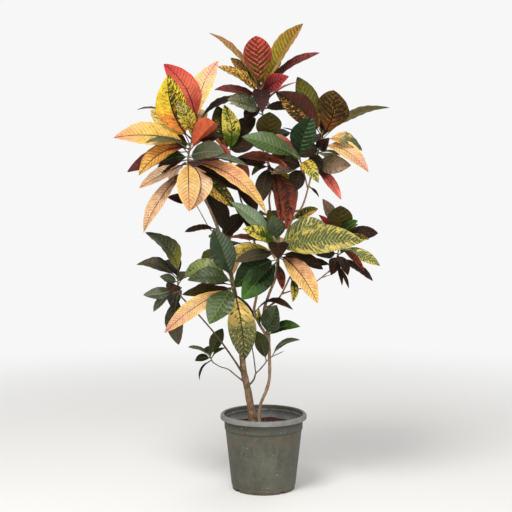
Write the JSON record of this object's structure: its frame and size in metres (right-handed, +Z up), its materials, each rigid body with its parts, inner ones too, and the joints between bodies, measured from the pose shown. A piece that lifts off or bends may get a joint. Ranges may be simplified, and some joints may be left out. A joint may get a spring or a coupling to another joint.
{
  "type": "potted croton",
  "caption": "Croton shrub of two woody stems with crowns of large variegated leaves, standing in the soil of a round nursery pot.",
  "frame": {"origin": "centre of the pot's underside, on the surface it stands on", "axes": "+Z up along the pot's axis, -Y towards the side that the picture shows, +X to that view's right"},
  "size_m": [0.7442, 0.3227, 1.2827],
  "materials": {
    "pot_plastic": "dusty, scuffed grey nursery plastic",
    "potting_soil": "dark red-brown potting mix of peat and bark chips",
    "trunk_bark": "smooth brown bark with leaf scars",
    "young_bark": "smooth pinkish brown bark",
    "gold_leaves": "waxy leaves, gold to peach with dark midribs",
    "red_leaves": "waxy leaves, olive to maroon with red and gold veins",
    "olive_leaves": "waxy leaves, dark olive with gold flecks",
    "green_leaves": "glossy dark green leaves, some splashed with yellow"
  },
  "bodies": {
    "root": {"pot": "pot_plastic", "soil": "potting_soil", "main_stem": "trunk_bark", "second_stem": "young_bark", "shoot_upper_left": "gold_leaves", "shoot_top": "red_leaves", "shoot_inner": "olive_leaves", "shoot_centre": "red_leaves", "shoot_upper_right": "olive_leaves", "shoot_upper_right_low": "green_leaves", "shoot_front": "green_leaves", "shoot_left_front": "green_leaves", "shoot_left": "green_leaves", "shoot_right": "olive_leaves", "shoot_low_left": "green_leaves", "shoot_low_middle": "olive_leaves", "shoot_back": "olive_leaves", "shoot_back_left": "green_leaves"}
  },
  "joints": []
}
